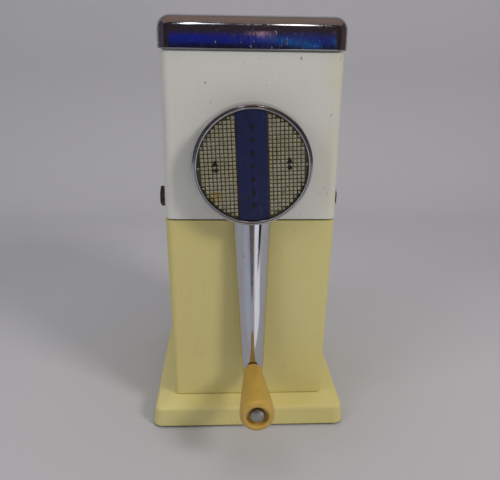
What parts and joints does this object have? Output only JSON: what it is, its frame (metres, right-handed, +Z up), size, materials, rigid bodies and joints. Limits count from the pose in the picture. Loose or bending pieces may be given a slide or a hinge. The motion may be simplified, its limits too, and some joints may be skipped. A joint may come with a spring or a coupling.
{
  "type": "hand-cranked ice crusher",
  "caption": "Table-top ice crusher with a hinged chrome lid over a hopper, a side-sliding ice cup under a white head, and a front crank with a round dial and knob.",
  "frame": {"origin": "centre of the footprint, on the table under the foot ring", "axes": "+Z up, -Y is the front with the crank and dial, +X to the right seen from the front"},
  "size_m": [0.1216, 0.1883, 0.2452],
  "materials": {
    "cream_plastic": "aged moulded plastic, satin",
    "white_paint": "stoved white enamel, satin",
    "chrome": "bright plated, lightly scratched",
    "rubber": "matte",
    "plated_steel": "zinc plated",
    "dark_steel": "dulled",
    "cast_alloy": "as cast, worn",
    "liner": "smooth",
    "bronze": "sintered, oiled",
    "dial_metal": "embossed champagne grid",
    "navy": "satin enamel",
    "nylon": "natural",
    "amber_plastic": "polished cast phenolic"
  },
  "bodies": {
    "body": {"base": "cream_plastic", "foot_ring": "rubber", "bottom_plate": "plated_steel", "bottom_plate_screws": "plated_steel", "rear_column": "cream_plastic", "column_screws": "plated_steel", "head_shell": "white_paint", "head_screws": "plated_steel", "crusher_frame": "cast_alloy", "hopper": "liner", "front_bearing": "bronze", "rear_bearing": "bronze", "fine_comb": "cast_alloy", "coarse_comb": "cast_alloy", "comb_bolts": "dark_steel", "comb_washers": "dark_steel", "hinge_leaf_body": "plated_steel", "hinge_body_rivets": "plated_steel", "hinge_pin": "plated_steel"},
    "crank": {"crank_arm": "chrome", "dial_bezel": "chrome", "dial_plate": "dial_metal", "dial_stripe": "navy", "drive_shaft": "plated_steel", "thrust_washer": "nylon", "shaft_washer": "plated_steel", "shaft_nut": "plated_steel", "retaining_ring": "dark_steel", "rotor_blades": "cast_alloy", "rotor_spacers": "cast_alloy", "knob_spindle": "plated_steel"},
    "knob": {"knob": "amber_plastic"},
    "lid": {"lid": "chrome", "hinge_leaf_lid": "plated_steel", "hinge_lid_rivets": "plated_steel"},
    "cup": {"ice_cup": "cream_plastic"}
  },
  "joints": [
    {"name": "crank_spin", "type": "hinge", "parent": "body", "child": "crank", "pos_m": [0, -0.057, 0.1671], "axis": [0, -1, 0], "continuous": true},
    {"name": "knob_spin", "type": "hinge", "parent": "crank", "child": "knob", "pos_m": [0.00174, -0.08, 0.04231], "axis": [0, -1, 0], "continuous": true},
    {"name": "lid_hinge", "type": "hinge", "parent": "body", "child": "lid", "pos_m": [0, 0.0602, 0.225], "axis": [-1, 0, 0], "range_deg": [0, 105]},
    {"name": "cup_slide", "type": "slide", "parent": "body", "child": "cup", "axis": [-1, 0, 0], "range_m": [0, 0.105]}
  ]
}
